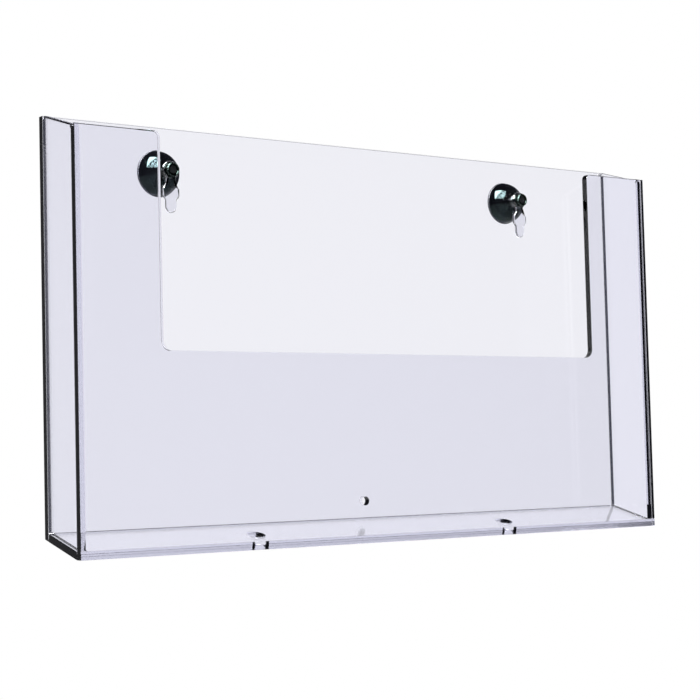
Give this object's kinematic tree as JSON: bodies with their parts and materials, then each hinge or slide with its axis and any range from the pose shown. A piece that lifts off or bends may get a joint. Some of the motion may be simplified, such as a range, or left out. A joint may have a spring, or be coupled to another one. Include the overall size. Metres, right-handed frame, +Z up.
{
  "type": "leaflet wall pocket",
  "caption": "Clear acrylic wall pocket for leaflets or envelopes, with a cut-away front and a sloping drained floor, hung on screw-down suction fixings with swinging tabs.",
  "frame": {"origin": "on the wall, midway between the fixings, at the height of their axes", "axes": "+Z up, +X along the width, +Y into the wall; the open front faces -Y"},
  "size_m": [0.31, 0.0395, 0.1765],
  "materials": {
    "clear_acrylic": "clear cast sheet, polished edges",
    "clear_tab": "clear moulded plastic",
    "soft_pvc": "dark soft PVC",
    "chrome": "bright dark chrome plate",
    "stud_steel": "turned steel"
  },
  "bodies": {
    "pocket": {"back_panel": "clear_acrylic", "front_panel": "clear_acrylic", "floor_panel": "clear_acrylic", "left_side": "clear_acrylic", "right_side": "clear_acrylic", "left_suction_cup": "soft_pvc", "left_stud": "stud_steel", "left_dome_cover": "chrome", "left_neck_sleeve": "chrome", "right_suction_cup": "soft_pvc", "right_stud": "stud_steel", "right_dome_cover": "chrome", "right_neck_sleeve": "chrome"},
    "left_tab": {"left_tab": "clear_tab"},
    "left_washer": {"left_washer": "chrome"},
    "left_knob": {"left_knob": "chrome"},
    "right_tab": {"right_tab": "clear_tab"},
    "right_washer": {"right_washer": "chrome"},
    "right_knob": {"right_knob": "chrome"}
  },
  "joints": [
    {"name": "left_tab_swing", "type": "hinge", "parent": "pocket", "child": "left_tab", "pos_m": [-0.097, -0.013, 0], "axis": [0, -1, 0], "continuous": true},
    {"name": "left_washer_slide", "type": "slide", "parent": "pocket", "child": "left_washer", "axis": [0, -1, 0], "range_m": [0, 0.00105]},
    {"name": "left_knob_turn", "type": "hinge", "parent": "left_washer", "child": "left_knob", "pos_m": [-0.097, -0.0142, 0], "axis": [0, -1, 0], "range_deg": [0, 541]},
    {"name": "right_tab_swing", "type": "hinge", "parent": "pocket", "child": "right_tab", "pos_m": [0.097, -0.013, 0], "axis": [0, -1, 0], "continuous": true},
    {"name": "right_washer_slide", "type": "slide", "parent": "pocket", "child": "right_washer", "axis": [0, -1, 0], "range_m": [0, 0.00105]},
    {"name": "right_knob_turn", "type": "hinge", "parent": "right_washer", "child": "right_knob", "pos_m": [0.097, -0.0142, 0], "axis": [0, -1, 0], "range_deg": [0, 541]}
  ],
  "couplings": [
    {"joint": "left_knob_turn", "follows": "left_washer_slide", "rad_per_m": 8976},
    {"joint": "right_knob_turn", "follows": "right_washer_slide", "rad_per_m": 8976}
  ]
}
